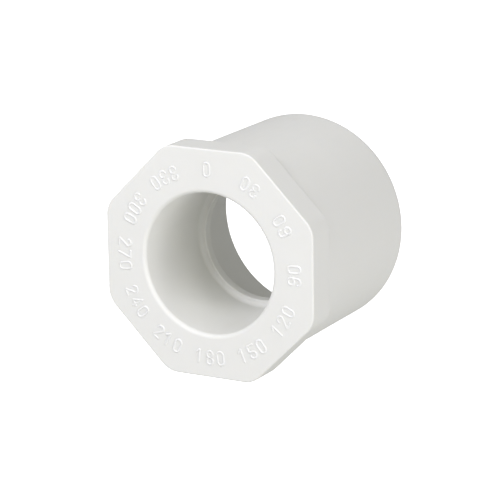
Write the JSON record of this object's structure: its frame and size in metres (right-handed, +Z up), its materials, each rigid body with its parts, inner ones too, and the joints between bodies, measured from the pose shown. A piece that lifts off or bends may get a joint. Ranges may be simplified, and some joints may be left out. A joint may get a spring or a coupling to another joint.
{
  "type": "reducing bushing",
  "caption": "White PVC pipe reducer: octagonal head with a smooth solvent socket and stop ring in front, plain round spigot behind.",
  "frame": {"origin": "on the axis, in the plane of the head's shoulder where the spigot starts", "axes": "+Y runs along the axis from the head's face to the spigot's open end, -Y looks out of the socket, +Z is up with one flat of the head at the bottom"},
  "size_m": [0.0438, 0.0403, 0.0438],
  "materials": {
    "white_pvc": "moulded rigid PVC with a soft sheen"
  },
  "bodies": {
    "root": {"bushing_body": "white_pvc", "raised_numerals": "white_pvc"}
  },
  "joints": []
}
